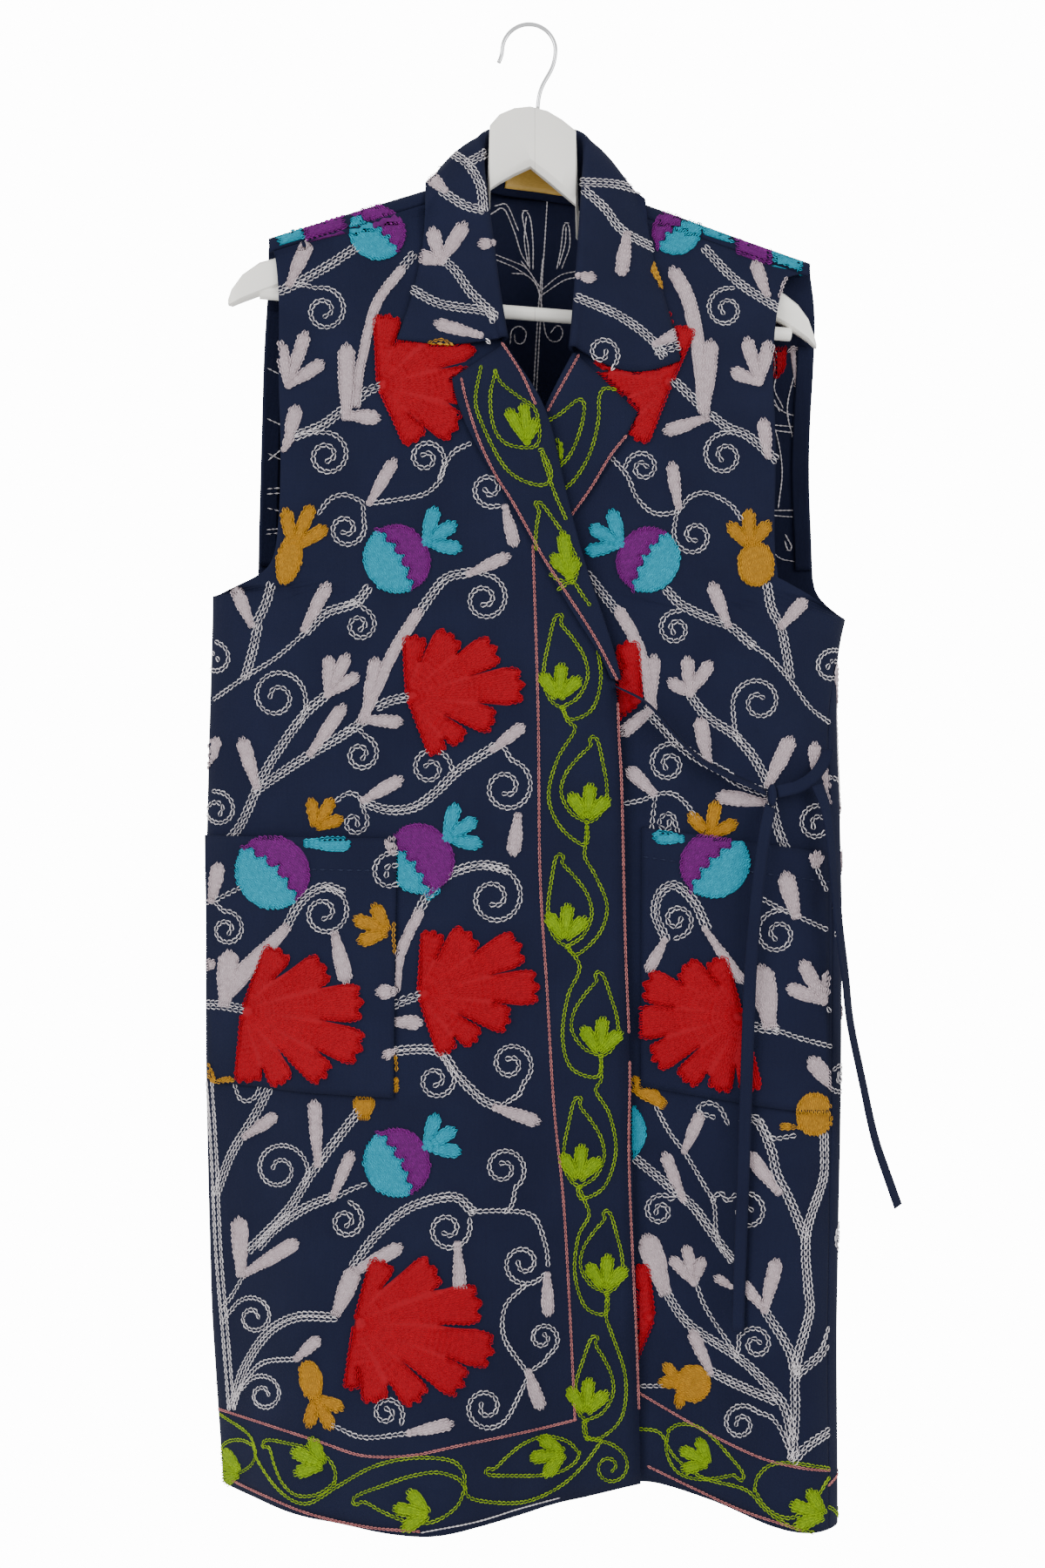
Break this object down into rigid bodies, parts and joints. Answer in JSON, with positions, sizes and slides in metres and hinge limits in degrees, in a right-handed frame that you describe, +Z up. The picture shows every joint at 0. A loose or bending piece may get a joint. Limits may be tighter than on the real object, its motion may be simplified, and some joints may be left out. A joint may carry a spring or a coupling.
{
  "type": "long embroidered sleeveless wrap vest on a wooden clothes hanger",
  "caption": "Long sleeveless wrap vest in navy cotton with a notched collar, chain-stitched vines and flowers, patch pockets and a side tie, hung on a white wooden hanger.",
  "frame": {"origin": "under the crest of the hanger's hook, where a rail carries it", "axes": "+Z up, -Y towards the front of the vest, +X towards a viewer's right, which is the wearer's left"},
  "size_m": [0.5125, 0.1394, 1.105],
  "materials": {
    "navy_cotton": "matt plain-weave cotton covered with chain-stitch embroidery",
    "navy_cotton_tie": "matt plain-weave cotton strip",
    "label_satin": "satin ribbon label, left bare",
    "white_lacquered_wood": "smooth warm white lacquer",
    "chrome": "polished plated wire"
  },
  "bodies": {
    "root": {"front_over": "navy_cotton", "front_under": "navy_cotton", "back": "navy_cotton", "lapel_over": "navy_cotton", "lapel_under": "navy_cotton", "collar": "navy_cotton", "pocket_right": "navy_cotton", "pocket_left": "navy_cotton", "facing_left": "navy_cotton", "facing_right": "navy_cotton", "label": "label_satin", "tie_over": "navy_cotton_tie", "tie_side": "navy_cotton_tie", "tie_knot": "navy_cotton_tie", "tie_end_long": "navy_cotton_tie", "tie_end_side": "navy_cotton_tie", "hanger_body": "white_lacquered_wood", "hanger_hook": "chrome"}
  },
  "joints": []
}
